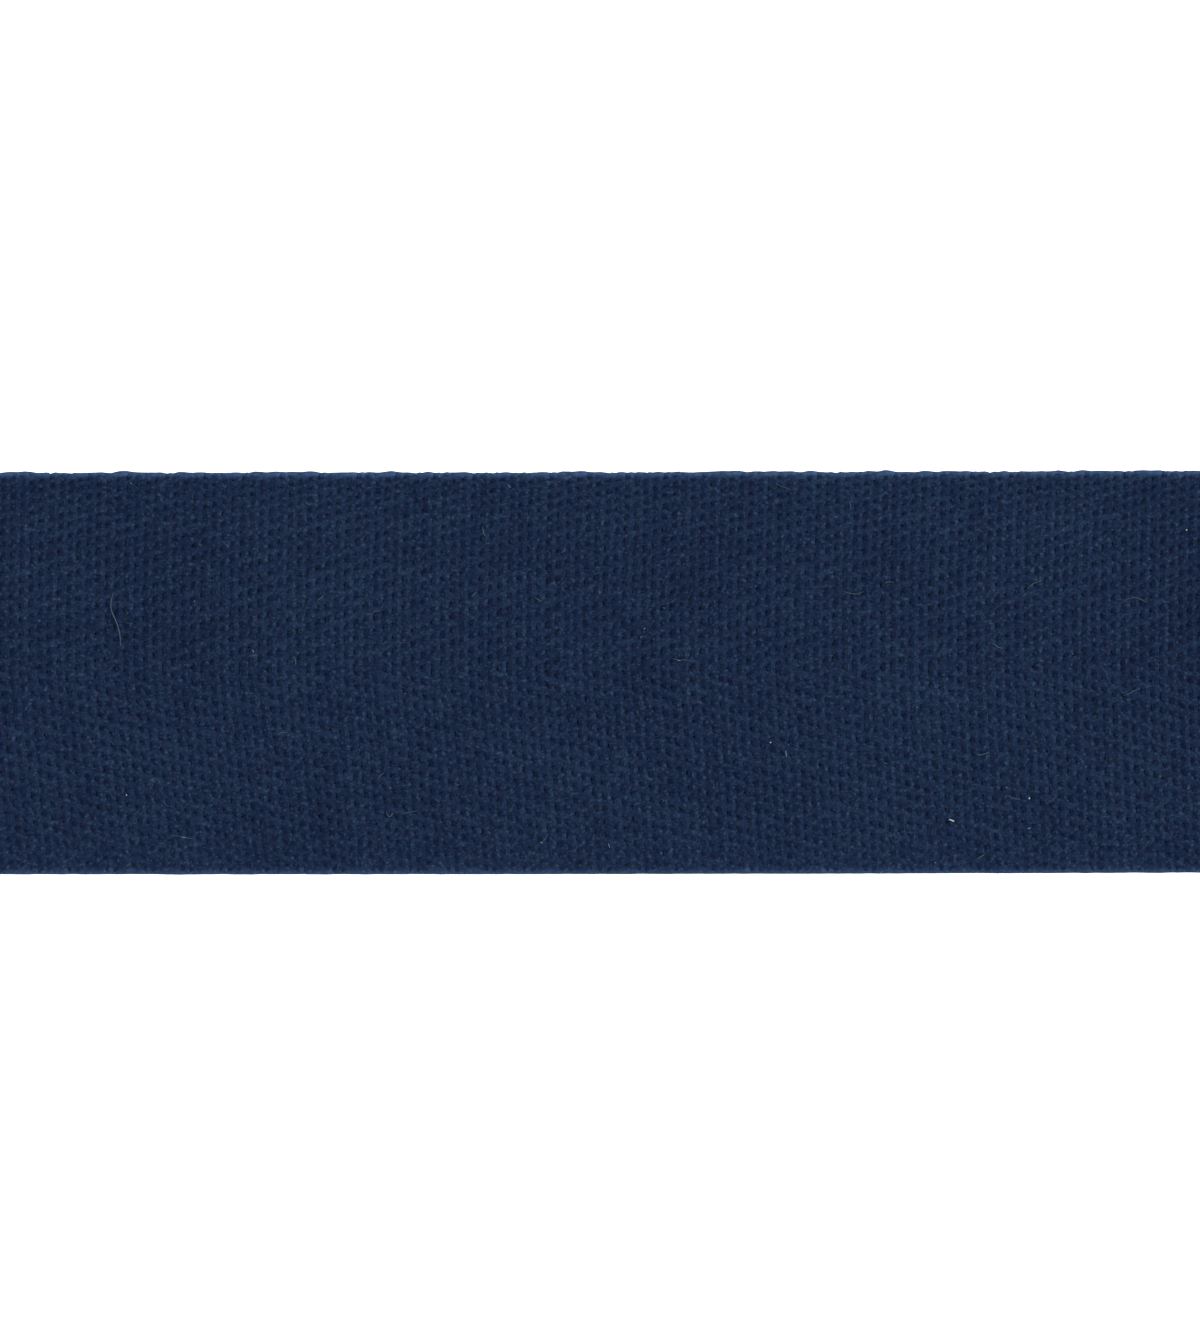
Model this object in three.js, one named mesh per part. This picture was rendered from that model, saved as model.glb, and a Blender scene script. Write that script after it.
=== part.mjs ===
import * as THREE from 'three';

// A cut length of herringbone twill tape, lying flat on its underside.
// X runs along the tape, Y across it and Z up. The origin is the centre of the underside.
// All sizes are millimetres.

// Flat size of the cloth
const TAPE_WIDTH = 25.4;
const TAPE_LENGTH = 88.9;
const TAPE_THICKNESS = 1.0;

// The weft turns back at both selvedges, which leaves them round and a little thinner
const SELVEDGE_THICKNESS = 0.92;
const SELVEDGE_REACH = 0.5;
const SELVEDGE_FACETS = 3;

// Upper face: a tighter strip along each selvedge, two even twill bands,
// and a shallow valley where the twill line turns back on itself
const STRIP_WIDTH = 1.8;
const STRIP_THICKNESS = 0.96;
const VALLEY_Y = 0.33;
const VALLEY_WIDTH = 0.86;
const VALLEY_THICKNESS = 0.94;

// The tape doesn't lie quite straight: it follows a very wide arc,
// whose flattest point is a little to the left of the middle
const ARC_RADIUS = 19400;
const ARC_MIDDLE_X = -28.6;

// Each selvedge wanders by a few hundredths: a long wave and a short one
const WANDER_DEPTH = 0.02;
const WANDER_LONG = 23.5;
const WANDER_SHORT = 5.9;

// The weft lies a little askew, and both cuts follow it: the lower selvedge is that much
// further along than the upper one, at the left end and at the right end
const LEFT_SLANT = 1.0;
const RIGHT_SLANT = 0.4;

const STATION_STEP = 1.6;

const NAVY = new THREE.Color('rgb(30, 43, 68)');

function makeProfile() {
    const half = TAPE_WIDTH / 2;
    const centre = half - SELVEDGE_REACH;
    const rise = SELVEDGE_THICKNESS / 2;
    const quarter = Math.PI / 2;
    const profile = new THREE.Shape();

    profile.absellipse(centre, rise, SELVEDGE_REACH, rise, -quarter, quarter, false);
    profile.lineTo(half - STRIP_WIDTH, STRIP_THICKNESS);
    profile.lineTo(half / 2, TAPE_THICKNESS);
    profile.lineTo(VALLEY_Y + VALLEY_WIDTH / 2, TAPE_THICKNESS);
    profile.lineTo(VALLEY_Y, VALLEY_THICKNESS);
    profile.lineTo(VALLEY_Y - VALLEY_WIDTH / 2, TAPE_THICKNESS);
    profile.lineTo(-half / 2, TAPE_THICKNESS);
    profile.lineTo(STRIP_WIDTH - half, STRIP_THICKNESS);
    profile.absellipse(-centre, rise, SELVEDGE_REACH, rise, quarter, 3 * quarter, false);
    return profile;
}

// How far the tape has moved sideways at x, on its wide arc
function sideways(x) {
    return (x - ARC_MIDDLE_X) ** 2 / (2 * ARC_RADIUS);
}

// How far a cross-section's point has moved along the tape. share is 1 at the upper selvedge
// and -1 at the lower one.
function askew(x, share) {
    const rightness = x / TAPE_LENGTH + 0.5;
    return -share * THREE.MathUtils.lerp(LEFT_SLANT, RIGHT_SLANT, rightness) / 2;
}

// How far a selvedge stands out at x. The two selvedges are out of step.
function wander(x, side) {
    const long = Math.sin(2 * Math.PI * x / WANDER_LONG + side);
    const short = Math.sin(2 * Math.PI * x / WANDER_SHORT - 2 * side);
    return WANDER_DEPTH * (long + short) / 2;
}

function makeTape() {
    const geometry = new THREE.ExtrudeGeometry(makeProfile(), {
        depth: TAPE_LENGTH,
        steps: Math.round(TAPE_LENGTH / STATION_STEP),
        curveSegments: SELVEDGE_FACETS,
        bevelEnabled: false,
    });

    // The profile's x becomes the tape's Y, its y becomes Z, and the length becomes X
    const across = new THREE.Vector3(0, 1, 0);
    const up = new THREE.Vector3(0, 0, 1);
    const along = new THREE.Vector3(1, 0, 0);
    geometry.applyMatrix4(new THREE.Matrix4().makeBasis(across, up, along));
    geometry.translate(-TAPE_LENGTH / 2, 0, 0);

    const points = geometry.attributes.position;
    for (let i = 0; i < points.count; i += 1) {
        const x = points.getX(i);
        const y = points.getY(i);
        const share = y / (TAPE_WIDTH / 2);
        points.setX(i, x + askew(x, share));
        points.setY(i, y + sideways(x) + share * wander(x, Math.sign(share)));
    }

    geometry.computeBoundingBox();
    const middle = geometry.boundingBox.getCenter(new THREE.Vector3());
    geometry.translate(-middle.x, -middle.y, -geometry.boundingBox.min.z);
    geometry.computeVertexNormals();
    return geometry;
}

const cotton = new THREE.MeshStandardMaterial({
    color: NAVY,
    roughness: 0.9,
    metalness: 0,
});

const tape = new THREE.Mesh(makeTape(), cotton);
tape.name = 'tape';

const object = new THREE.Group();
object.add(tape);

export default object;
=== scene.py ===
# %% [markdown]
# # A cut length of herringbone twill tape
#
# This navy cotton tape is one inch wide and lies flat. Close up it is nothing but yarn. Stiff weft
# picks run across it, and warp ends run along it, each over two picks and under the next two. Every
# end takes its step one pick later than its neighbour, which draws the diagonal lines of a twill, and
# in the middle of the tape the steps turn back, which draws the point of the herringbone.
#
# A bump map could draw that pattern on a flat sheet. Here the yarns are real tubes instead, because
# the pattern that the eye sees is mostly the shade in the small pits between them, and because the
# selvedges and the cut ends then look right from every side.

# %% Load the frame
import math
import bmesh
import bpy
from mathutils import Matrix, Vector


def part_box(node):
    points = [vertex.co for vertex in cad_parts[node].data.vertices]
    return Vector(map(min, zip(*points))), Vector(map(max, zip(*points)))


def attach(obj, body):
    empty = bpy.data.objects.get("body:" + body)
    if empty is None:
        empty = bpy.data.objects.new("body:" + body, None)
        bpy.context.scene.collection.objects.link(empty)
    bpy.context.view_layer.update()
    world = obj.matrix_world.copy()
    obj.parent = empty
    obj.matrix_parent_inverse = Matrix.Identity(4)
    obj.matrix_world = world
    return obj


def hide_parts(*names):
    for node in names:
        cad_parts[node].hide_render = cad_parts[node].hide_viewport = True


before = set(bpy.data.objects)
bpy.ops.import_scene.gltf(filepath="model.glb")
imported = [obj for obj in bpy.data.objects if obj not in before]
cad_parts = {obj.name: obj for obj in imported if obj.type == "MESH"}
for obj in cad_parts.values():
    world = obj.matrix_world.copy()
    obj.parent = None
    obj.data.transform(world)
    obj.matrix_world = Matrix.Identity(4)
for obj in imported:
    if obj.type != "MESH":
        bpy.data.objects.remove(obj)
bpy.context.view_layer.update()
LOW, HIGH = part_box("tape")
print("the flat solid spans", [round(1000 * (high - low), 2) for low, high in zip(LOW, HIGH)], "mm")

# %% [markdown]
# ## Sizes
#
# The width of the tape fills 400.1 rows of the photograph, so one row or column is a known length.
# The weave was counted there: how far apart the picks lie, how far apart the ends lie, and where the
# twill turns back. Distances are in metres, as everywhere in Blender.

# %% Sizes of the tape
MM = 0.001
TAPE_WIDTH = 25.4 * MM
HALF = TAPE_WIDTH / 2
PIXEL = TAPE_WIDTH / 400.1
FRAME_WIDE = 1200
FRAME_HIGH = 1343

# The middle line of the tape follows a very wide arc, and both cuts lean as the weft does
ARC_RADIUS = 19400 * MM
ARC_MIDDLE_X = -28.45 * MM
ARC_RISE = 0.069 * MM
LEFT_SLANT = 1.0 * MM
RIGHT_SLANT = 0.4 * MM
MIDDLE_Y = ARC_MIDDLE_X ** 2 / (2 * ARC_RADIUS) - ARC_RISE  # where that line passes the origin
MIDDLE_ROW = 672.675  # and its row in the photograph's middle column

# %% Sizes of the weave
PICK = 9.586 * PIXEL
PICK_AT_ORIGIN = 2.156  # which pick lies on the frame's middle column, where no lean counts
FLOAT_PICKS = 2  # how many picks an end passes over, and then under
REPEAT_PICKS = 2 * FLOAT_PICKS
TWILL_START = 3.5  # where the end at the reversal is lowest, counted in picks
REVERSAL_Y = 5.175 * PIXEL
LAST_END = 62  # the ends are numbered from 0, at the reversal, to this at either selvedge

# The ends are squeezed together towards each selvedge, from a certain end outwards
UPPER = {"pitch": 3.43 * PIXEL, "tight_from": 30.0, "tightening": 0.363}
LOWER = {"pitch": 3.38 * PIXEL, "tight_from": 38.0, "tightening": 0.195}

# The picks lean, in the lower half most of all. The numbers count picks, from the middle to an edge.
LOWER_LEAN = 1.45
LOWER_LEAN_FADE = 0.70
UPPER_LEAN = 0.33
UPPER_LEAN_FROM = 4.6 * MM
PHOTO_HALF_SPAN = FRAME_WIDE / 2 * PIXEL

# Picks aren't beaten up quite evenly. The drifts are in picks, each over a length and a width.
SLOW_DRIFT = 0.30
SLOW_LENGTH = 4.0 * MM
SLOW_WIDTH = 14.0 * MM
QUICK_DRIFT = 0.22
QUICK_LENGTH = 1.1 * MM
QUICK_WIDTH = 6.0 * MM

# %% Sizes of the warp
WARP_HALF_WIDTH = 0.22 * MM
WARP_HALF_THICKNESS = 0.13 * MM
WARP_SIDES = 6
WARP_SQUARENESS = 0.3  # 0 is an oval section, and towards 1 it fills its box
WARP_RISE = 0.165 * MM  # how far above the middle of the cloth an end goes, and below it
WARP_ROUNDNESS = 0.5
WARP_DIP = 0.06 * MM
WARP_SWAY = -0.02 * MM
WARP_WANDER = 0.25 * MM
WANDER_LENGTH = 1.6 * MM
WARP_SLIP = 0.36 * MM
WARP_LIFT = 0.13 * MM
WARP_UNEVEN = 0.8
BULGE_LENGTH = 1.3 * MM
SLIMMING = 0.5  # the share of its lost room that a squeezed end loses in thickness
SELVEDGE_CORD = 1.2  # the outermost end is that much thicker, which keeps the selvedge straight
FRAY = 0.5 * MM

# The lower selvedge is calm: from one end outwards it grows flat, full and straight.
# The upper selvedge is lively, and wanders more than the rest of the tape.
CALM_FROM = 48.0
CALM_RISE = 0.45
CALM_FULLNESS = 1.25
CALM_WANDER = 0.2
LIVELY_WANDER = 2.0

# %% Sizes of the weft
WEFT_HALF_WIDTH = 0.27 * MM
WEFT_HALF_THICKNESS = 0.20 * MM
WEFT_SIDES = 5
WEFT_SQUARENESS = 0.4
WEFT_ROUNDED = False
WEFT_RISE = 0.10 * MM
WEFT_UPPER_TURN = 0.045 * MM
WEFT_LOWER_TURN = 0.055 * MM
WEFT_LIFT = 0.12 * MM
LIFT_LENGTH = 0.9 * MM
WEFT_UNEVEN = 0.6
SLUB_LENGTH = 2.0 * MM
MIDDLE_Z = WARP_RISE + WARP_HALF_THICKNESS
TOP_Z = 2 * MIDDLE_Z
print("cloth thickness", round(TOP_Z / MM, 2), "mm, ends", 2 * LAST_END + 1)

# %% [markdown]
# ## Formulas in a node tree
#
# A weave follows a rule, so Geometry Nodes can make all of it. The rule is a handful of formulas, and
# wired by hand each of them would be a page of Math nodes. A small class keeps them readable: adding
# or multiplying two of its numbers places the Math node and links it. The materials use it too.

# %% Numbers that flow through a node tree
def feed(slot, value):
    """Send a node's output, a number that flows or a plain value into an input."""
    if isinstance(value, Number):
        value = value.socket
    if isinstance(value, bpy.types.NodeSocket):
        slot.id_data.links.new(value, slot)
    else:
        slot.default_value = value


class Number:
    """A number that flows through a node tree, so that a formula reads as a plain sum."""

    def __init__(self, socket):
        self.socket = socket

    def maths(self, operation, *others):
        node = self.socket.id_data.nodes.new("ShaderNodeMath")
        node.operation = operation
        for slot, term in zip(node.inputs, (self, *others)):
            feed(slot, term)
        return Number(node.outputs[0])

    def __add__(self, other):
        return self.maths("ADD", other)

    def __sub__(self, other):
        return self.maths("SUBTRACT", other)

    def __mul__(self, other):
        return self.maths("MULTIPLY", other)

    def __truediv__(self, other):
        return self.maths("DIVIDE", other)

    def __neg__(self):
        return self.maths("MULTIPLY", -1.0)

    def __abs__(self):
        return self.maths("ABSOLUTE")

    __radd__ = __add__
    __rmul__ = __mul__

    def __rsub__(self, other):
        return -self + other


def add_node(tree, kind, settings=None, **values):
    """Add a node, set its options and feed its inputs, whose names are written with underscores."""
    node = tree.nodes.new(kind)
    for option, value in (settings or {}).items():
        setattr(node, option, value)
    for name, value in values.items():
        title = name.replace("_", " ")
        feed(next(slot for slot in node.inputs if slot.enabled and slot.name == title), value)
    return node


def cosine(angle):
    return angle.maths("COSINE")


def vector(tree, x, y, z):
    return add_node(tree, "ShaderNodeCombineXYZ", X=x, Y=y, Z=z).outputs[0]


def parts(tree, place):
    """The three parts of a vector, as numbers."""
    return [Number(slot) for slot in add_node(tree, "ShaderNodeSeparateXYZ", Vector=place).outputs]


def own_index(tree):
    """The number of each point, counted from 0."""
    return Number(tree.nodes.new("GeometryNodeInputIndex").outputs[0])


def noise(tree, place, detail=1.0):
    """Smooth noise around zero at a place. It is always the same there, so nothing needs a seed.

    The last part of a place is a fixed number that sets one use of the noise apart from others. A
    yarn's number in a place is scaled by about one, so that neighbouring yarns hardly agree.
    """
    node = add_node(tree, "ShaderNodeTexNoise", Vector=place, Scale=1.0, Detail=detail)
    return Number(node.outputs[0]) - 0.5


def dice(tree, number, throw):
    """A fixed draw from 0 to 1 for each whole number, and another one for each throw."""
    node = add_node(tree, "ShaderNodeTexWhiteNoise", {"noise_dimensions": "2D"},
                    Vector=vector(tree, number + 0.5, throw, 0.0))
    return Number(node.outputs[0])


# %% [markdown]
# ## The rule of the weave
#
# Three formulas hold the whole cloth together, and both yarns use them, so that they stay in step.
# `seat_of_end` says how far across the tape an end lies. `place_of_pick` says how far along the tape
# a pick lies there. `twill_phase` is 1 where an end is at the bottom of its wave and -1 where it
# floats on the face.

# %% Where ends and picks lie
def by_half(upper, name):
    """UPPER's value in the upper half of the tape, and LOWER's in the lower half."""
    return (UPPER[name] - LOWER[name]) * upper + LOWER[name]


def squeeze(end):
    """How many ends an end lies outside the even band, and how much room each of them gives up."""
    upper = end.maths("GREATER_THAN", 0.0)
    tight_from = by_half(upper, "tight_from")
    outside = (abs(end) - tight_from).maths("MAXIMUM", 0.0)
    return outside, by_half(upper, "tightening") / (LAST_END - tight_from)


def seat_of_end(end):
    upper = end.maths("GREATER_THAN", 0.0)
    outside, share = squeeze(end)
    count = abs(end) - share * outside * outside / 2
    return (2 * upper - 1.0) * by_half(upper, "pitch") * count + REVERSAL_Y


def room_of_end(end):
    """The room that an end has, against one in the even band."""
    outside, share = squeeze(end)
    return 1.0 - share * outside


def calmness(end):
    """0 over most of the tape, and up to 1 at the lower selvedge, or for -end at the upper one."""
    return (-end - CALM_FROM).maths("MAXIMUM", 0.0) / (LAST_END - CALM_FROM)


def pick_lean(x, y):
    """How many picks the weft leans to the right at a place, against one straight across."""
    low = (-y).maths("MAXIMUM", 0.0) / HALF
    high = (y - UPPER_LEAN_FROM).maths("MAXIMUM", 0.0) / (HALF - UPPER_LEAN_FROM)
    return low * (LOWER_LEAN - LOWER_LEAN_FADE / PHOTO_HALF_SPAN * x) + UPPER_LEAN * high


def pick_drift(tree, x, y):
    """How far a pick has drifted along the tape, in picks."""
    slow = noise(tree, vector(tree, x / SLOW_LENGTH, y / SLOW_WIDTH, 0.3))
    quick = noise(tree, vector(tree, x / QUICK_LENGTH, y / QUICK_WIDTH, 8.6))
    return SLOW_DRIFT * slow + QUICK_DRIFT * quick


def place_of_pick(tree, pick, y):
    """How far along the tape a pick lies. A whole number is the middle of that pick."""
    x = (pick - PICK_AT_ORIGIN) * PICK
    near = x + pick_lean(x, y) * PICK
    return x + (pick_lean(near, y) + pick_drift(tree, near, y)) * PICK


def twill_phase(pick, end):
    return cosine((pick - abs(end) - TWILL_START) * (math.pi / FLOAT_PICKS))


def arc(x):
    """How far sideways the tape's middle line lies at x."""
    return (x - ARC_MIDDLE_X) * (x - ARC_MIDDLE_X) / (2 * ARC_RADIUS) - ARC_RISE


# %% [markdown]
# ## Running a tree
#
# Each tree has a named input for every size, so that it can be tried by hand in the modifier's panel.
# The script sets those inputs by identifier, evaluates the object once, keeps the mesh and throws the
# modifier away, because what is exported should be plain geometry.

# %% Helpers that start, end and run a tree
SOCKETS = {
    float: "NodeSocketFloat",
    int: "NodeSocketInt",
    bpy.types.Material: "NodeSocketMaterial",
    bpy.types.Collection: "NodeSocketCollection",
}


def start_tree(name, sizes):
    """A node tree with a named input for each size. Gives the tree and the inputs by name."""
    tree = bpy.data.node_groups.new(name, "GeometryNodeTree")
    tree.interface.new_socket("Mesh", in_out="OUTPUT", socket_type="NodeSocketGeometry")
    for title, value in sizes.items():
        tree.interface.new_socket(title, in_out="INPUT", socket_type=SOCKETS[type(value)])
    entry = tree.nodes.new("NodeGroupInput")
    return tree, {title: Number(entry.outputs[title]) for title in sizes}


def end_tree(tree, mesh, material, rounded=True):
    """Shade the mesh round or flat, give it its material and send it out."""
    whole = add_node(tree, "GeometryNodeRealizeInstances", Geometry=mesh).outputs[0]
    shaded = add_node(tree, "GeometryNodeSetShadeSmooth", Geometry=whole, Shade_Smooth=rounded)
    dressed = add_node(tree, "GeometryNodeSetMaterial", Geometry=shaded.outputs[0], Material=material)
    feed(tree.nodes.new("NodeGroupOutput").inputs[0], dressed.outputs[0])


def keep(name, mesh):
    """Make a mesh a piece of its own, and say how heavy it is."""
    mesh.name = name
    piece = bpy.data.objects.new(name, mesh)
    bpy.context.scene.collection.objects.link(piece)
    triangles = sum(len(face.vertices) - 2 for face in mesh.polygons)
    print(f"{name}: {triangles} triangles")
    return piece


def run_tree(name, tree, sizes):
    """Run the tree in a modifier and keep what it makes as a plain piece."""
    maker = bpy.data.objects.new(name, bpy.data.meshes.new(name))
    bpy.context.scene.collection.objects.link(maker)
    modifier = maker.modifiers.new("maker", "NODES")
    modifier.node_group = tree
    for item in tree.interface.items_tree:
        if item.in_out == "INPUT":
            modifier[item.identifier] = sizes[item.name]
    graph = bpy.context.evaluated_depsgraph_get()
    made = maker.evaluated_get(graph)
    mesh = bpy.data.meshes.new_from_object(made, preserve_all_data_layers=True, depsgraph=graph)
    bpy.data.objects.remove(maker)
    return keep(name, mesh)


# %% [markdown]
# ## From a line to a yarn
#
# A yarn is a tube swept along its line. Yarns press each other flat where they cross, so its section
# is a flattened circle with a flat side on top, and squareness pushes its shoulders outwards. The
# sweep also stores where each point lies on its yarn: how far along, and its direction round the
# section. The fibres in the material spiral by those numbers.

# %% Sweep a yarn's section along its line
def captured(tree, geometry, kind, value):
    """Keep a field's value on a geometry, so that it survives what is done to the geometry next."""
    node = add_node(tree, "GeometryNodeCaptureAttribute", Geometry=geometry)
    node.capture_items.new(kind, "value")
    feed(node.inputs[1], value)
    return node.outputs[0], node.outputs[1]


def stored(tree, geometry, kind, name, value):
    """Store a field's value on the points of a geometry, under a name that a material can read."""
    node = add_node(tree, "GeometryNodeStoreNamedAttribute", {"data_type": kind, "domain": "POINT"},
                    Geometry=geometry, Name=name, Value=value)
    return node.outputs[0]


def section(tree, sides, half_width, half_thickness, squareness):
    """A yarn's section, and the direction of each of its points."""
    circle = add_node(tree, "GeometryNodeCurvePrimitiveCircle", Resolution=sides, Radius=1.0)
    turn = ((own_index(tree) + 0.5) / sides + 0.25) * (2 * math.pi)
    sideways, upwards = cosine(turn), turn.maths("SINE")
    wide = sideways.maths("SIGN") * abs(sideways).maths("POWER", 1.0 - squareness)
    flat = add_node(tree, "GeometryNodeSetPosition", Geometry=circle.outputs[0],
                    Position=vector(tree, wide * half_width, upwards * half_thickness, 0.0))
    return captured(tree, flat.outputs[0], "VECTOR", vector(tree, 0.0, sideways, upwards))


def sweep(tree, line, shape, along, strand, scale, waste=False):
    """A closed tube round each line, apart from the points that are waste."""
    line, along = captured(tree, line, "FLOAT", along)
    line, strand = captured(tree, line, "FLOAT", strand)
    line, scale = captured(tree, line, "FLOAT", scale)
    line = add_node(tree, "GeometryNodeDeleteGeometry", Geometry=line, Selection=waste).outputs[0]
    line = add_node(tree, "GeometryNodeSetCurveNormal", {"mode": "Z_UP"}, Curve=line).outputs[0]
    profile, round_way = section(tree, *shape)
    tube = add_node(tree, "GeometryNodeCurveToMesh", Curve=line, Profile_Curve=profile,
                    Scale=scale, Fill_Caps=True).outputs[0]
    sideways, upwards = parts(tree, round_way)[1:]
    tube = stored(tree, tube, "FLOAT_VECTOR", "yarn", vector(tree, along, sideways, upwards))
    return stored(tree, tube, "FLOAT", "strand", strand)


# %% [markdown]
# ## The warp
#
# The tree starts as many straight lines as there are ends, all on one place, and counts their points.
# From that one index it knows the end and the pick, and so where the point belongs. The rings of a
# tube lie closer together over the float on the face, which is what shows, than under it.

# %% Count the rings of the warp
RINGS_PER_REPEAT = 11
CLOSE_RINGS = 8  # as many of them lie over the float on the face
REPEATS = 40
WARP_START = -79.5  # the pick, well beyond the left cut, where the end at the reversal comes up


def ring_place(index, first_end):
    """From a ring's number: its end, and how far along that end it lies, in picks."""
    rings = REPEATS * RINGS_PER_REPEAT
    row = ((index + 0.5) / rings).maths("FLOOR")
    end = row + first_end
    ring = index - row * rings
    repeat = ((ring + 0.5) / RINGS_PER_REPEAT).maths("FLOOR")
    ring = ring - repeat * RINGS_PER_REPEAT
    close = FLOAT_PICKS / CLOSE_RINGS
    wide = FLOAT_PICKS / (RINGS_PER_REPEAT - CLOSE_RINGS)
    step = ring * close + (ring - CLOSE_RINGS).maths("MAXIMUM", 0.0) * (wide - close)
    own_start = abs(end) - ((abs(end) + 0.5) / REPEAT_PICKS).maths("FLOOR") * REPEAT_PICKS
    return end, repeat * REPEAT_PICKS + step + own_start + WARP_START


print("rings on each end, before the cuts:", REPEATS * RINGS_PER_REPEAT)

# %% [markdown]
# A float sways: it lies a little to one side over the first pick that it crosses, and to the other
# side over the second. Between those two picks it sinks in. And no two floats are alike. Noise moves
# them along (slip), across (wander) and up and down (lift), and makes the yarn thick and thin.
#
# That irregularity decides whether the cloth looks woven or printed. The photograph shows it
# unevenly: the lower selvedge is calm and straight, so the noise fades out towards it, and the upper
# one is lively, so it grows there.

# %% Shape each end of the warp
def warp_place(tree, size, end, pick, seat):
    """Where an end lies, for a place along it that is counted in picks."""
    slip = size["Slip"] * noise(tree, vector(tree, pick * 0.7, end * 1.3, 7.7))
    x = place_of_pick(tree, pick, seat) + slip
    phase = twill_phase(pick, end)
    upper = end.maths("GREATER_THAN", 0.0)
    sway = (1.0 - 2 * upper) * size["Sway"] * cosine((pick - abs(end)) * math.pi)
    wander = size["Wander"] * noise(tree, vector(tree, x / WANDER_LENGTH, end * 0.9, 2.4))
    calm = calmness(end)
    freedom = 1.0 - (1.0 - CALM_WANDER) * calm + (LIVELY_WANDER - 1.0) * calmness(-end)
    y = arc(x) + seat + (sway + wander) * room_of_end(end) * freedom
    between = 0.5 - 0.5 * cosine(pick * (2 * math.pi))
    wave = phase + size["Roundness"] * (phase - phase * phase * phase)
    lift = size["Lift"] * noise(tree, vector(tree, pick * 0.5, end * 1.9, 4.2))
    rise = size["Dip"] * between * phase + lift - size["Rise"] * wave
    z = rise * (1.0 - (1.0 - CALM_RISE) * calm) + MIDDLE_Z
    return x, y, z


def warp_fullness(tree, size, end, x):
    """How thick an end is at a place, against its usual size."""
    calm = calmness(end)
    bulges = noise(tree, vector(tree, x / BULGE_LENGTH, end * 1.7, 5.1))
    uneven = size["Unevenness"] * bulges * (1.0 - (1.0 - CALM_WANDER) * calm) + 1.0
    slimmed = room_of_end(end) * SLIMMING + (1.0 - SLIMMING)
    cord = abs(end).maths("GREATER_THAN", LAST_END - 0.5) * (SELVEDGE_CORD - 1.0) + 1.0
    return uneven * slimmed * cord * ((CALM_FULLNESS - 1.0) * calm + 1.0)


def beyond_cuts(tree, size, end, x, seat):
    """Whether a point lies beyond the left or the right cut. Each end is frayed by its own bit."""
    across = seat / HALF
    left = (1.0 - across) * (LEFT_SLANT / 2) + LOW[0] - size["Fray"] * (dice(tree, end, 1.5) - 0.5)
    right = (1.0 + across) * (-RIGHT_SLANT / 2) + HIGH[0] + size["Fray"] * (dice(tree, end, 2.5) - 0.5)
    return (left - x).maths("MAXIMUM", x - right).maths("GREATER_THAN", 0.0)


# %% Build the tree of the warp
FIBRE_SHIFT = 3.7 * MM  # the fibres' pattern starts that much further along on each next end
WARP_SIZES = {
    "First end": -LAST_END,
    "Ends": 2 * LAST_END + 1,
    "Half width": WARP_HALF_WIDTH,
    "Half thickness": WARP_HALF_THICKNESS,
    "Rise": WARP_RISE,
    "Roundness": WARP_ROUNDNESS,
    "Dip": WARP_DIP,
    "Sway": WARP_SWAY,
    "Wander": WARP_WANDER,
    "Slip": WARP_SLIP,
    "Lift": WARP_LIFT,
    "Unevenness": WARP_UNEVEN,
    "Fray": FRAY,
}


def warp_tree(sizes):
    tree, size = start_tree("Warp of the tape", sizes)
    rings = REPEATS * RINGS_PER_REPEAT
    line = add_node(tree, "GeometryNodeCurvePrimitiveLine", End=(1.0, 0.0, 0.0)).outputs[0]
    ringed = add_node(tree, "GeometryNodeResampleCurve", Curve=line, Count=rings).outputs[0]
    starts = add_node(tree, "GeometryNodePoints", Count=size["Ends"]).outputs[0]
    copies = add_node(tree, "GeometryNodeInstanceOnPoints", Points=starts, Instance=ringed).outputs[0]
    lines = add_node(tree, "GeometryNodeRealizeInstances", Geometry=copies).outputs[0]

    end, pick = ring_place(own_index(tree), size["First end"])
    seat = seat_of_end(end)
    x, y, z = warp_place(tree, size, end, pick, seat)
    placed = add_node(tree, "GeometryNodeSetPosition", Geometry=lines,
                      Position=vector(tree, x, y, z)).outputs[0]

    shape = (WARP_SIDES, size["Half width"], size["Half thickness"], WARP_SQUARENESS)
    fullness = warp_fullness(tree, size, end, x)
    waste = beyond_cuts(tree, size, end, x, seat)
    tube = sweep(tree, placed, shape, x + end * FIBRE_SHIFT, dice(tree, end, 0.5), fullness, waste)
    end_tree(tree, tube, size["Cotton"])
    return tree


# %% [markdown]
# ## The weft
#
# The weft is one long yarn that goes back and forth. It is stiffer than the warp and hardly bends:
# it only dips a little under the ends that float over it. At each selvedge it turns round the
# outermost end into the next pick, and those small loops are what makes the edge of the tape bumpy.
# It is shaded flat, because its facets then catch the light one by one, as bundles of fibres do.

# %% Build the tree of the weft
TURN_STEPS = 2  # how many points each pick adds at either selvedge for its half of a loop
TURN_SLIMMING = 0.5
WEFT_POINTS = 2 * LAST_END + 2 + 2 * TURN_STEPS
FIRST_PICK = -69
PICKS = 144
WEFT_SIZES = {
    "First pick": FIRST_PICK,
    "Picks": PICKS,
    "Half width": WEFT_HALF_WIDTH,
    "Half thickness": WEFT_HALF_THICKNESS,
    "Rise": WEFT_RISE,
    "Upper turn": WEFT_UPPER_TURN,
    "Lower turn": WEFT_LOWER_TURN,
    "Lift": WEFT_LIFT,
    "Unevenness": WEFT_UNEVEN,
}


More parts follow.
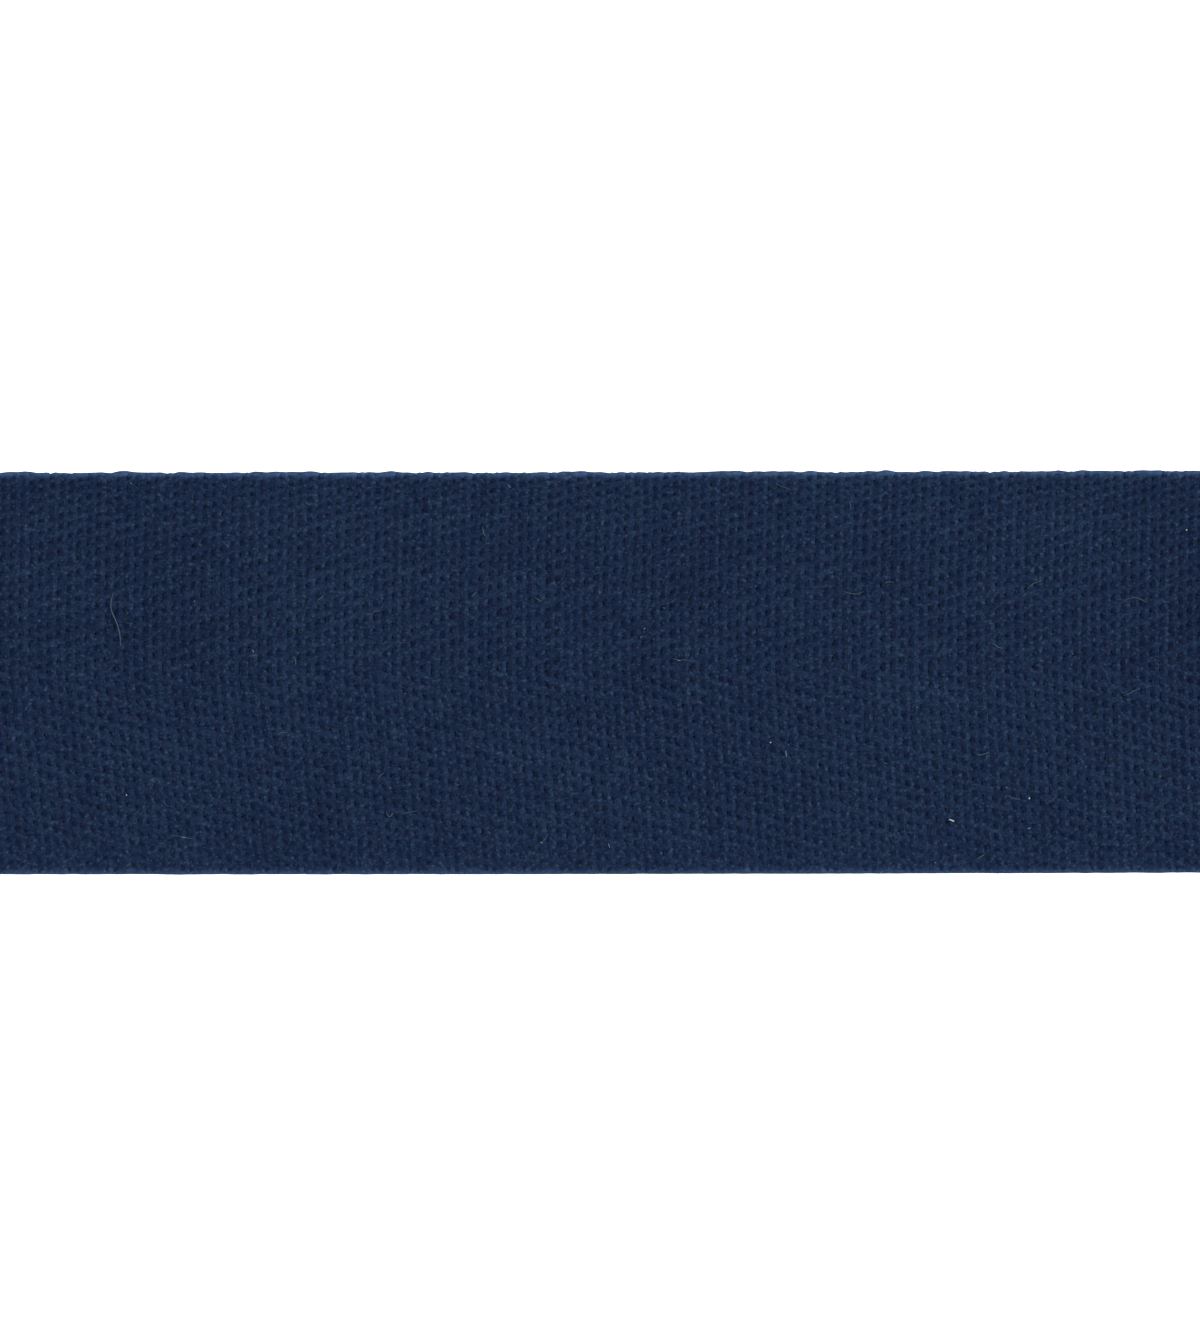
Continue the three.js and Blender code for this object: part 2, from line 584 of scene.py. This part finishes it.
def weft_tree(sizes):
    tree, size = start_tree("Weft of the tape", sizes)
    line = add_node(tree, "GeometryNodeCurvePrimitiveLine", End=(1.0, 0.0, 0.0)).outputs[0]
    points = size["Picks"] * WEFT_POINTS
    run = add_node(tree, "GeometryNodeResampleCurve", Curve=line, Count=points).outputs[0]

    index = own_index(tree)
    row = ((index + 0.5) / WEFT_POINTS).maths("FLOOR")
    pick = row + size["First pick"]
    way = 1.0 - 4 * (row * 0.5).maths("FRACT")
    step = index - row * WEFT_POINTS - (WEFT_POINTS - 1) / 2
    side = step.maths("SIGN")
    steps_out = (abs(step) - (LAST_END + 0.5)).maths("MAXIMUM", 0.0)
    turned = steps_out * (math.pi / (2 * TURN_STEPS + 1))
    end = way * side * abs(step).maths("MINIMUM", float(LAST_END))
    seat = seat_of_end(end)
    loop = side * (1.0 - cosine(turned)) / 2
    x = place_of_pick(tree, pick + loop, seat)
    outward = way * side
    upper = outward.maths("GREATER_THAN", 0.0)
    turn = (size["Upper turn"] - size["Lower turn"]) * upper + size["Lower turn"]
    y = arc(x) + seat + outward * turn * turned.maths("SINE")
    lift = size["Lift"] * noise(tree, vector(tree, pick * 1.3, y / LIFT_LENGTH, 6.4))
    z = (size["Rise"] * twill_phase(pick, end) + lift) * cosine(turned) + MIDDLE_Z
    placed = add_node(tree, "GeometryNodeSetPosition", Geometry=run,
                      Position=vector(tree, x, y, z)).outputs[0]

    uneven = size["Unevenness"] * noise(tree, vector(tree, pick * 0.9, y / SLUB_LENGTH, 5.1)) + 1.0
    slim = uneven * (1.0 - TURN_SLIMMING * turned.maths("SINE"))
    length = way * y + pick * TAPE_WIDTH
    shape = (WEFT_SIDES, size["Half width"], size["Half thickness"], WEFT_SQUARENESS)
    tube = sweep(tree, placed, shape, length, dice(tree, pick, 3.5), slim)
    end_tree(tree, tube, size["Cotton"], WEFT_ROUNDED)
    return tree


# %% [markdown]
# ## The cotton
#
# Dyed cotton yarn is dull, and it is never one colour. Each fibre takes the dye a little differently,
# some look purplish and some greenish, and each strand has its own depth. A few fibres get a painted
# glint: a pale colour added to their base colour stands in for a highlight. The fibres spiral round
# the yarn, two plies of them. The group below gives the colour and the height of that fibre pattern.
# It reads the yarn attribute, so that the spiral follows each tube.
#
# The cloth as a whole isn't even either. The dye is lighter and darker in clouds of a millimetre or
# two and in patches of about a centimetre. Where the tape rounds off at its selvedges the bright table
# lights it from beside, and a painted rim light stands for that: a pale colour added to the base colour
# there, only on what faces up.

# %% Tools for the fibre group
# The rim light is painted: a pale colour added to the base colour along the selvedges, where the bright
# table lights the rounded edge. The lower selvedge gets less of it.
RIM_LIGHT_COLOUR = (0.041, 0.092, 0.190, 1)
RIM_LIGHT_REACH = 0.14 * MM
RIM_LIGHT_LIMIT = 0.6
LOWER_RIM_LIGHT = 0.5  # the lower selvedge is less pale than the upper one


def mixed(group, blend, share, first, second):
    """Two colours, blended in the way that is named."""
    settings = {"data_type": "RGBA", "blend_type": blend}
    return add_node(group, "ShaderNodeMix", settings, Factor=share, A=first, B=second).outputs["Result"]


def spiralled(sideways, upwards, turn):
    """A direction round the yarn, turned by an angle as the fibres are by the twist."""
    turned_sideways = sideways * cosine(turn) - upwards * turn.maths("SINE")
    turned_upwards = sideways * turn.maths("SINE") + upwards * cosine(turn)
    return turned_sideways, turned_upwards


def painted_rim_light(group, x, y):
    """How much painted rim light a place gets: most at the selvedges, and none further in."""
    inwards = HALF - abs(y - arc(x))
    rim_light = (inwards / -RIM_LIGHT_REACH).maths("EXPONENT").maths("MINIMUM", RIM_LIGHT_LIMIT)
    rim_light = rim_light * ((1.0 - LOWER_RIM_LIGHT) * y.maths("GREATER_THAN", 0.0) + LOWER_RIM_LIGHT)
    normal = group.nodes.new("ShaderNodeNewGeometry").outputs["Normal"]
    return rim_light * parts(group, normal)[2].maths("MAXIMUM", 0.0)


# %% The dyed fibre group, with its painted glints and painted rim light
GRAIN_DETAIL = 1.0
STREAK_DETAIL = 2.0
STREAK_STRETCH = 6  # a streak is that many times as long as the grain is coarse
STREAKS_ROUND = 3
STREAK_SHARE = 0.7  # of a streak in the colour, against the grain
PLY_HEIGHT = 0.35
LUMP_LENGTH = 1.1 * MM
LUMP_SHARE = 2
STRAND_SPREAD = 50  # sets each strand's lumps apart from the next one's
TINT_SPREAD = 2.6
# The next two set the painted glints: where a noise passes the first, a pale colour scaled by the
# second is added to the base colour as a highlight.
PAINTED_GLINT_FROM = 0.08
PAINTED_GLINT_GAIN = 5.5
BLUE_SHARE = 0.60  # how much of a fibre's lightness or darkness reaches the blue
CLOUD_SIZE = 1.6 * MM
CLOUD_CONTRAST = 0.50
CLOUD_DETAIL = 2.0
PATCH_SIZE = 9.0 * MM
PATCH_CONTRAST = 0.50


def fibre_group():
    group = bpy.data.node_groups.new("Dyed cotton fibres with painted light", "ShaderNodeTree")
    # The third colour is that of the painted glints, highlights added to the base colour.
    for title in ("Purplish", "Greenish", "Glint"):
        group.interface.new_socket(title, in_out="INPUT", socket_type="NodeSocketColor")
    for title in ("Fibre size", "Fibre contrast", "Strand contrast", "Twist length"):
        group.interface.new_socket(title, in_out="INPUT", socket_type="NodeSocketFloat")
    group.interface.new_socket("Color", in_out="OUTPUT", socket_type="NodeSocketColor")
    group.interface.new_socket("Height", in_out="OUTPUT", socket_type="NodeSocketFloat")
    entry = group.nodes.new("NodeGroupInput").outputs
    fibre, contrast, strands, twist = (Number(entry[number]) for number in range(3, 7))

    yarn = add_node(group, "ShaderNodeAttribute", {"attribute_name": "yarn"})
    along, sideways, upwards = parts(group, yarn.outputs["Vector"])
    turn = along / twist * (2 * math.pi)
    sideways, upwards = spiralled(sideways, upwards, turn)
    plies = sideways * sideways
    streak_place = vector(group, along / (fibre * STREAK_STRETCH), sideways * STREAKS_ROUND,
                          upwards * STREAKS_ROUND)
    streaks = noise(group, streak_place, STREAK_DETAIL)

    place = add_node(group, "ShaderNodeTexCoord").outputs["Object"]
    scaled = add_node(group, "ShaderNodeVectorMath", {"operation": "SCALE"},
                      Vector=place, Scale=fibre.maths("POWER", -1.0)).outputs[0]
    speckle = add_node(group, "ShaderNodeTexNoise", Vector=scaled, Scale=1.0, Detail=GRAIN_DETAIL)
    channels = add_node(group, "ShaderNodeSeparateColor", Color=speckle.outputs["Color"]).outputs
    grain, tint, painted_glint = (Number(channel) - 0.5 for channel in channels)
    strand = Number(add_node(group, "ShaderNodeAttribute", {"attribute_name": "strand"}).outputs["Fac"])
    lumps = noise(group, vector(group, along / LUMP_LENGTH, strand * STRAND_SPREAD, 0.0))
    depth = (grain + streaks * STREAK_SHARE) * contrast + (strand + lumps * LUMP_SHARE - 0.5) * strands

    x, y = parts(group, place)[:2]
    clouds = noise(group, vector(group, x / CLOUD_SIZE, y / CLOUD_SIZE, 3.3), CLOUD_DETAIL)
    patches = noise(group, vector(group, x / PATCH_SIZE, y / PATCH_SIZE, 6.6))
    shade = (depth + clouds * CLOUD_CONTRAST + patches * PATCH_CONTRAST).maths("EXPONENT")
    shades = vector(group, shade, shade, shade.maths("POWER", BLUE_SHARE))
    dyed = mixed(group, "MIX", tint * TINT_SPREAD + 0.5, entry["Purplish"], entry["Greenish"])
    shaded = mixed(group, "MULTIPLY", 1.0, dyed, shades)
    # Painted glints: a pale highlight colour is added to the base colour on a few fibres.
    painted_glint_share = (painted_glint - PAINTED_GLINT_FROM).maths("MAXIMUM", 0.0) * PAINTED_GLINT_GAIN
    with_painted_glints = mixed(group, "ADD", painted_glint_share, shaded, entry["Glint"])
    # A painted rim of light: a pale colour added along the selvedges, on what faces up.
    with_painted_rim_light = mixed(group, "ADD", painted_rim_light(group, x, y), with_painted_glints, RIM_LIGHT_COLOUR)
    leave = group.nodes.new("NodeGroupOutput").inputs
    feed(leave["Color"], with_painted_rim_light)
    feed(leave["Height"], plies * PLY_HEIGHT + streaks)
    return group


FIBRES = fibre_group()

# %% The cotton's two materials, for its yarns and its fuzz
# The glint colours are painted highlights, added to the base colour of a few fibres.
YARN_PURPLISH = (0.0119, 0.0163, 0.0480, 1)
YARN_GREENISH = (0.0049, 0.0183, 0.0480, 1)
YARN_PAINTED_GLINT = (0.020, 0.033, 0.044, 1)
FUZZ_PURPLISH = (0.0270, 0.0400, 0.0900, 1)
FUZZ_GREENISH = (0.0170, 0.0460, 0.0900, 1)
FUZZ_PAINTED_GLINT = (0.05, 0.06, 0.07, 1)
FIBRE_SIZE = 0.20 * MM
FIBRE_CONTRAST = 1.95
STRAND_CONTRAST = 0.30
FUZZ_STRAND_CONTRAST = 1.2
TWIST_LENGTH = 0.8 * MM
BUMP_DEPTH = 0.03 * MM
ROUGHNESS = 0.9
SPECULAR = 0.05
SHEEN = 0.10
SHEEN_ROUGHNESS = 0.5
SHEEN_TINT = (0.25, 0.50, 1.0, 1)


def plain_material(name, colour):
    """Dull and all in one colour."""
    material = bpy.data.materials.new(name)
    material.use_nodes = True
    shader = material.node_tree.nodes["Principled BSDF"]
    shader.inputs["Base Color"].default_value = colour
    shader.inputs["Roughness"].default_value = ROUGHNESS
    shader.inputs["Specular IOR Level"].default_value = SPECULAR
    return material


def cotton_material(name, purplish, greenish, painted_glint, strand_contrast):
    """Dull too, with the fibre pattern and a faint blue sheen."""
    material = plain_material(name, purplish)
    tree = material.node_tree
    shader = tree.nodes["Principled BSDF"]
    fibres = add_node(tree, "ShaderNodeGroup", {"node_tree": FIBRES}, Purplish=purplish,
                      Greenish=greenish, Glint=painted_glint, Fibre_size=FIBRE_SIZE,
                      Fibre_contrast=FIBRE_CONTRAST, Strand_contrast=strand_contrast,
                      Twist_length=TWIST_LENGTH)
    bump = add_node(tree, "ShaderNodeBump", Strength=1.0, Distance=BUMP_DEPTH,
                    Height=fibres.outputs["Height"])
    feed(shader.inputs["Normal"], bump.outputs[0])
    feed(shader.inputs["Base Color"], fibres.outputs["Color"])
    shader.inputs["Sheen Weight"].default_value = SHEEN
    shader.inputs["Sheen Roughness"].default_value = SHEEN_ROUGHNESS
    shader.inputs["Sheen Tint"].default_value = SHEEN_TINT
    return material


COTTON = cotton_material("navy_cotton", YARN_PURPLISH, YARN_GREENISH, YARN_PAINTED_GLINT, STRAND_CONTRAST)
FUZZ_COTTON = cotton_material("navy_fuzz", FUZZ_PURPLISH, FUZZ_GREENISH, FUZZ_PAINTED_GLINT,
                              FUZZ_STRAND_CONTRAST)
print("materials:", COTTON.name, FUZZ_COTTON.name)

# %% [markdown]
# ## From trees to pieces
#
# One tree makes the whole warp. It runs four times, each time with other inputs for the first end and
# the number of ends, because a piece of all 125 ends would be too heavy for one mesh.

# %% Make the yarns
WARP_PIECES = 4
yarns = bpy.data.collections.new("yarns")
warp_sizes = {**WARP_SIZES, "Cotton": COTTON}
tree = warp_tree(warp_sizes)
warp = []
first = -LAST_END
for number in range(WARP_PIECES):
    count = (LAST_END + 1 - first) // (WARP_PIECES - number)
    warp_sizes.update({"First end": first, "Ends": count})
    warp.append(run_tree(f"warp_band_{number + 1}", tree, warp_sizes))
    first += count
weft_sizes = {**WEFT_SIZES, "Cotton": COTTON}
weft = run_tree("weft", weft_tree(weft_sizes), weft_sizes)
for piece in (*warp, weft):
    yarns.objects.link(piece)

# %% [markdown]
# ## Fuzz
#
# Cotton is spun from short fibres, and their loose ends stand out of every yarn and lie over the weave.
# That fuzz lightens the pits and blurs the edge of the tape. Hair particles could grow it, but they
# aren't exported. So points are strewn over the upper side of the finished yarns instead, and each
# one gets a short line that noise bends and that becomes a thin three-sided tube. Near a selvedge the
# fibres are turned along the tape, because there the cloth has been rubbed and pressed on the loom.

# %% Build the tree of the fuzz
FUZZ_POINTS = 4
FUZZ_SIDES = 3
STEEPEST = 0.1  # fibres stand only where the surface faces up more than this
CURL_SIZE = 0.5 * MM
EDGE_FREEDOM = 0.3  # how much of its crosswise reach a fibre keeps at the very edge
ARCH_SINK = 0.4  # a fibre arches, and its ends sink in by this share of its lift
FUZZ_SIZES = {
    "Yarns": yarns,
    "Density": 1.0e6,
    "Seed": 11,
    "Shortest": 0.12 * MM,
    "Longest": 1.0 * MM,
    "Radius": 0.012 * MM,
    "Curl": 0.5 * MM,
    "Lift": 0.04 * MM,
    "Edge": 0.9 * MM,
}


def fuzz_tree(sizes):
    tree, size = start_tree("Fuzz of the tape", sizes)
    cloth = add_node(tree, "GeometryNodeCollectionInfo", Collection=size["Yarns"]).outputs[0]
    cloth = add_node(tree, "GeometryNodeRealizeInstances", Geometry=cloth).outputs[0]
    facing = parts(tree, tree.nodes.new("GeometryNodeInputNormal").outputs[0])[2]
    place = tree.nodes.new("GeometryNodeInputPosition").outputs[0]
    x, y, z = parts(tree, place)
    upper_side = facing.maths("GREATER_THAN", STEEPEST) * z.maths("GREATER_THAN", MIDDLE_Z)
    strewn = add_node(tree, "GeometryNodeDistributePointsOnFaces", Mesh=cloth, Selection=upper_side,
                      Density=size["Density"], Seed=size["Seed"]).outputs[0]
    strewn, root = captured(tree, strewn, "VECTOR", place)
    strewn, number = captured(tree, strewn, "FLOAT", own_index(tree))
    number = Number(number)

    line = add_node(tree, "GeometryNodeCurvePrimitiveLine", Start=(-0.5, 0.0, 0.0), End=(0.5, 0.0, 0.0))
    hair = add_node(tree, "GeometryNodeResampleCurve", Curve=line.outputs[0], Count=FUZZ_POINTS)
    longest = dice(tree, number, 1.5)
    length = size["Shortest"] + (size["Longest"] - size["Shortest"]) * longest * longest
    hairs = add_node(tree, "GeometryNodeInstanceOnPoints", Points=strewn, Instance=hair.outputs[0],
                     Rotation=vector(tree, 0.0, 0.0, dice(tree, number, 0.5) * (2 * math.pi)),
                     Scale=vector(tree, length, 1.0, 1.0))
    hairs = add_node(tree, "GeometryNodeRealizeInstances", Geometry=hairs.outputs[0]).outputs[0]

    root_y, root_z = parts(tree, root)[1:]
    share = ((own_index(tree) + 0.01) / FUZZ_POINTS).maths("FRACT") * (FUZZ_POINTS / (FUZZ_POINTS - 1))
    curl_x, curl_y, own = x / CURL_SIZE, y / CURL_SIZE, number * 0.37
    bend_x = size["Curl"] * noise(tree, vector(tree, curl_x, curl_y, own))
    bend_y = size["Curl"] * noise(tree, vector(tree, curl_x, curl_y, own + 40.0))
    inside = (HALF - abs(root_y)) / size["Edge"]
    freedom = inside.maths("MAXIMUM", EDGE_FREEDOM).maths("MINIMUM", 1.0)
    arch = (share * math.pi).maths("SINE") - ARCH_SINK
    bent_y = root_y + (y - root_y + bend_y) * freedom
    bent = vector(tree, x + bend_x, bent_y, root_z + size["Lift"] * arch)
    placed = add_node(tree, "GeometryNodeSetPosition", Geometry=hairs, Position=bent).outputs[0]
    shape = (FUZZ_SIDES, size["Radius"], size["Radius"], 0.0)
    tube = sweep(tree, placed, shape, x, dice(tree, number, 2.5), 1.0)
    end_tree(tree, tube, size["Cotton"])
    return tree


# %% Make the fuzz
fuzz_sizes = {**FUZZ_SIZES, "Cotton": FUZZ_COTTON}
fuzz = run_tree("fuzz", fuzz_tree(fuzz_sizes), fuzz_sizes)

# %% [markdown]
# ## Lint
#
# Dust sticks to cotton. A few pale fibres and specks lie on this length. No rule says where, so each
# is named and placed one by one. Its first number is its thickness, and the pairs after that are the
# places that it passes, all in columns and rows of the photograph. A curve with a bevel turns such a
# line into a tube. The tube's two caps are loose, so its doubles are merged and its faces turned out.

# %% Lint, one by one
FIBRE_COLOUR = (0.066, 0.110, 0.150, 1)
SPECK_COLOUR = (0.42, 0.50, 0.52, 1)
DIM_COLOUR = (0.115, 0.165, 0.200, 1)
FIBRES_AT = {
    "long fibre": (0.85, (113, 592), (108, 605), (116, 621), (120, 635), (120, 645)),
    "loop": (0.8, (974, 751), (977, 755), (982, 754), (988, 752)),
    "comma": (0.7, (1123, 695), (1130, 693), (1133, 690), (1139, 688)),
    "twig": (0.7, (1027, 588), (1031, 584), (1035, 582), (1041, 580)),
    "eyebrow": (0.6, (1123, 600), (1130, 597), (1138, 597), (1146, 602)),
    "streak": (0.5, (671, 658), (678, 660), (685, 659), (692, 661)),
    "low streak": (0.5, (169, 835), (176, 835), (186, 837), (195, 839)),
    "tail of the crumb": (0.6, (542, 841), (546, 838), (547, 833)),
    "grey hair": (0.6, (843, 591), (850, 593), (857, 594), (863, 591)),
    "hair near the selvedge": (0.6, (775, 483), (780, 486), (790, 489)),
    "faint hair": (0.5, (1007, 795), (1012, 798), (1019, 799)),
    "left tuft": (0.9, (317, 600), (320, 598), (323, 595)),
    "low tuft": (1.1, (977, 858), (981, 856), (984, 854)),
    "upper curl": (0.8, (848, 502), (851, 504), (850, 508)),
    "left hair": (0.7, (293, 656), (296, 660), (295, 665)),
    "upright hair": (0.9, (482, 526), (482, 531), (485, 536)),
    "curl under it": (0.8, (471, 597), (473, 593), (476, 592)),
    "slanting hair": (0.8, (534, 597), (538, 599), (541, 601)),
    "curl at the right": (0.8, (991, 643), (995, 644), (997, 647), (1002, 648)),
    "tuft at the right": (0.8, (884, 583), (888, 580), (893, 582)),
    "slanting dash": (0.8, (377, 779), (380, 774), (384, 772)),
    "hook": (0.8, (386, 811), (387, 816), (391, 816), (392, 812)),
    "dotted streak": (0.7, (402, 813), (408, 812), (417, 810)),
    "left curl": (0.7, (163, 799), (164, 804), (168, 806)),
    "faint tuft": (0.7, (277, 734), (281, 731), (286, 732)),
}
DIM_SPECKS_AT = {
    "left speck": (1.0, (252, 649), (253, 652)),
    "dim dot": (1.6, (1005.5, 787), (1006.5, 787)),
    "knot of the streak": (1.0, (677, 660), (680, 660)),
    "knot of the low streak": (1.0, (181, 837), (185, 837)),
    "short dash": (0.8, (608, 843), (609, 847)),
    "low dot": (1.1, (660, 852), (661, 853)),
    "top dash": (0.8, (507, 484), (510, 487)),
    "dot by the point": (1.4, (643.5, 628), (644.5, 628.5)),
    "dot below it": (1.0, (640, 636.5), (641, 637)),
    "upper left dot": (1.2, (130, 482.5), (131, 483)),
    "middle left dot": (1.2, (193.5, 600.5), (194.5, 601)),
    "upright dash": (0.9, (785, 750), (786, 756)),
    "far right dot": (1.1, (1187, 787.5), (1188, 788)),
    "low right dot": (1.0, (934, 862), (935, 862.5)),
    "right smudge": (1.2, (1027, 828), (1030, 827.5)),
    "middle right dot": (1.1, (885, 763), (886, 763)),
    "dot above the point": (1.1, (663, 607), (664, 608)),
    "dot right of the point": (1.3, (916, 706.5), (917, 707)),
    "faint right dot": (1.0, (1071.5, 653), (1072.5, 653.5)),
    "crumb": (1.4, (540, 842), (542, 842)),
}
BRIGHT_SPECKS_AT = {
    "dash": (1.35, (948.6, 818.8), (953.4, 820.8)),
    "dot": (1.7, (1028.2, 797.8), (1029.4, 797.8)),
    "right dot": (1.3, (1185.4, 529.4), (1186.6, 529.4)),
    "dot under the middle": (1.2, (769.4, 742), (770.6, 742)),
    "left low dot": (1.2, (125.5, 794.5), (126.6, 794.5)),
}
print("pieces of lint:", len(FIBRES_AT) + len(DIM_SPECKS_AT) + len(BRIGHT_SPECKS_AT))

# %% Lay the lint on the cloth
LINT_LIFT = 0.02 * MM
LINT_TIP = 0.5  # how thick a fibre still is at its tips
LINT_ORDER = 3
LINT_STEPS = 4
WELD_REACH = PIXEL / 1000


def lay_lint(name, strands, colour):
    """A thin tube for each strand of lint, slimmer at its tips, lying on the top of the cloth."""
    curve = bpy.data.curves.new(name, "CURVE")
    curve.dimensions = "3D"
    curve.bevel_depth = PIXEL
    curve.bevel_resolution = 1
    curve.use_fill_caps = True
    for thickness, *places in strands.values():
        spline = curve.splines.new("NURBS")
        spline.points.add(len(places) - 1)
        spline.order_u = min(LINT_ORDER, len(places))
        spline.use_endpoint_u = True
        spline.resolution_u = LINT_STEPS
        for number, (point, (column, row)) in enumerate(zip(spline.points, places)):
            x = (column - (FRAME_WIDE - 1) / 2) * PIXEL
            y = (MIDDLE_ROW - row) * PIXEL + MIDDLE_Y
            point.co = (x, y, TOP_Z + LINT_LIFT, 1.0)
            tip = len(places) > 2 and number in (0, len(places) - 1)
            point.radius = thickness * (LINT_TIP if tip else 1.0) / 2
    maker = bpy.data.objects.new(name, curve)
    bpy.context.scene.collection.objects.link(maker)
    graph = bpy.context.evaluated_depsgraph_get()
    mesh = bpy.data.meshes.new_from_object(maker.evaluated_get(graph), depsgraph=graph)
    bpy.data.objects.remove(maker)
    shell = bmesh.new()
    shell.from_mesh(mesh)
    bmesh.ops.remove_doubles(shell, verts=shell.verts, dist=WELD_REACH)
    bmesh.ops.recalc_face_normals(shell, faces=shell.faces)
    shell.to_mesh(mesh)
    shell.free()
    mesh.materials.clear()
    mesh.materials.append(plain_material(name, colour))
    return keep(name, mesh)


lint = [
    lay_lint("lint_fibres", FIBRES_AT, FIBRE_COLOUR),
    lay_lint("lint_dim_specks", DIM_SPECKS_AT, DIM_COLOUR),
    lay_lint("lint_bright_specks", BRIGHT_SPECKS_AT, SPECK_COLOUR),
]

# %% [markdown]
# ## Camera, floor and light
#
# The photograph looks straight down on the tape, from far enough away to show no perspective. So the
# camera has a long lens. The floor is white paper that glows a little, as on a light table, so that
# it stays white right up to the tape's edge.

# %% Camera straight above
LENS = 200.0
SENSOR = 36.0
camera_data = bpy.data.cameras.new("camera")
camera_data.lens = LENS
camera_data.sensor_width = SENSOR
camera = bpy.data.objects.new("camera", camera_data)
bpy.context.scene.collection.objects.link(camera)
frame_middle_y = MIDDLE_Y + (MIDDLE_ROW - (FRAME_HIGH - 1) / 2) * PIXEL
camera.location = (0.0, frame_middle_y, TOP_Z + FRAME_HIGH * PIXEL * LENS / SENSOR)
bpy.context.scene.camera = camera
print("camera height", round(camera.location[2], 3), "m")

# %% Floor
FLOOR_SIZE = 3.0
PAPER_COLOUR = (0.9, 0.9, 0.9, 1)
PAPER_ROUGHNESS = 0.9
PAPER_GLOW = 1.0
floor_mesh = bpy.data.meshes.new("floor")
corners = [(-1, -1), (1, -1), (1, 1), (-1, 1)]
floor_mesh.from_pydata([(x * FLOOR_SIZE, y * FLOOR_SIZE, 0) for x, y in corners], [], [(0, 1, 2, 3)])
floor = bpy.data.objects.new("floor", floor_mesh)
bpy.context.scene.collection.objects.link(floor)
paper = bpy.data.materials.new("white_paper")
paper.use_nodes = True
paper_shader = paper.node_tree.nodes["Principled BSDF"]
paper_shader.inputs["Base Color"].default_value = PAPER_COLOUR
paper_shader.inputs["Roughness"].default_value = PAPER_ROUGHNESS
paper_shader.inputs["Emission Color"].default_value = (1, 1, 1, 1)
paper_shader.inputs["Emission Strength"].default_value = PAPER_GLOW
floor_mesh.materials.append(paper)

# %% [markdown]
# The light in the photograph is soft and comes from all around, with a little more of it from the
# right. So a white sky does most of the work, and one large lamp far to the right gives the floats
# their bright sides.

# %% Lights
KEY_PLACE = (1.60, 0.08, 0.93)
KEY_SIZE = 0.75
KEY_WATTS = 25.5
DOME_STRENGTH = 0.805
key_data = bpy.data.lights.new("key", "AREA")
key_data.shape = "DISK"
key_data.size = KEY_SIZE
key_data.energy = KEY_WATTS
key = bpy.data.objects.new("key", key_data)
key.location = KEY_PLACE
key.rotation_euler = (-key.location).to_track_quat("-Z", "Y").to_euler()
bpy.context.scene.collection.objects.link(key)

sky = bpy.data.worlds.new("studio")
sky.use_nodes = True
backdrop = sky.node_tree.nodes["Background"]
backdrop.inputs["Color"].default_value = (1, 1, 1, 1)
backdrop.inputs["Strength"].default_value = DOME_STRENGTH
bpy.context.scene.world = sky
bpy.context.scene.view_settings.view_transform = "Standard"

# %% Say what each piece is
pieces = [*warp, weft, fuzz, *lint]
for piece in pieces:
    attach(piece, "root")
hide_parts("tape")
